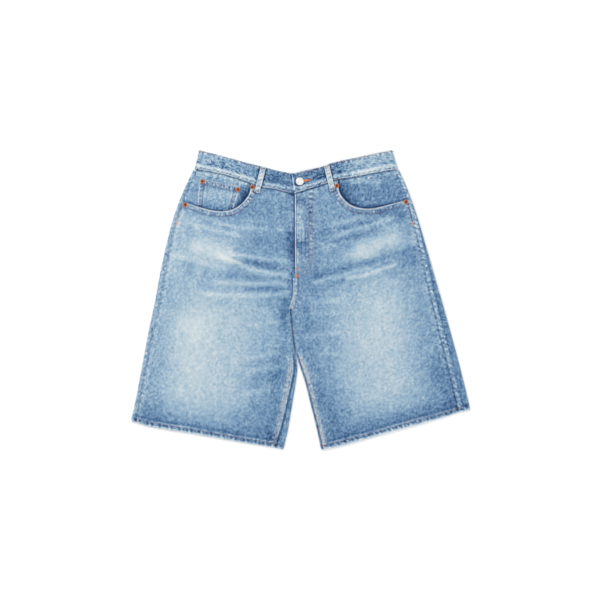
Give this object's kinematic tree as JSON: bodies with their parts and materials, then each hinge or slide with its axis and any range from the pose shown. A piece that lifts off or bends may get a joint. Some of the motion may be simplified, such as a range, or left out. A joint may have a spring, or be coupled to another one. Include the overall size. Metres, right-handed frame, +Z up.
{
  "type": "denim shorts",
  "caption": "Faded knee-length denim shorts laid flat, front up, with scoop pockets, coin pocket, buttoned waistband, belt loops, rivets and turned hems.",
  "frame": {"origin": "middle of the laid outline, on the surface that the shorts lie on", "axes": "+X to the right of the laid shorts, which is the wearer's left; +Y towards the waistband; +Z up from the surface, out of the front side"},
  "size_m": [0.7136, 0.6308, 0.0148],
  "materials": {
    "denim_front": "washed blue twill, faded on the thighs and hips, with orange-brown sewing",
    "denim_back": "washed blue twill, less faded",
    "denim_trim": "washed blue twill, worn pale along the edges",
    "rivet_copper": "aged copper with a dark centre",
    "button_metal": "pale worn silver"
  },
  "bodies": {
    "root": {"front_panel_right": "denim_front", "back_panel_right": "denim_back", "back_yoke_right": "denim_back", "back_pocket_right": "denim_back", "pocket_facing_right": "denim_front", "belt_loop_front_right": "denim_trim", "belt_loop_side_right": "denim_trim", "front_panel_left": "denim_front", "back_panel_left": "denim_back", "back_yoke_left": "denim_back", "back_pocket_left": "denim_back", "pocket_facing_left": "denim_front", "belt_loop_front_left": "denim_trim", "belt_loop_side_left": "denim_trim", "belt_loop_centre": "denim_trim", "waistband": "denim_trim", "coin_pocket": "denim_front", "button": "button_metal", "rivet_right_pocket_waist": "rivet_copper", "rivet_right_pocket_side": "rivet_copper", "rivet_left_pocket_waist": "rivet_copper", "rivet_left_pocket_side": "rivet_copper", "rivet_coin_outer": "rivet_copper", "rivet_coin_inner": "rivet_copper"}
  },
  "joints": []
}
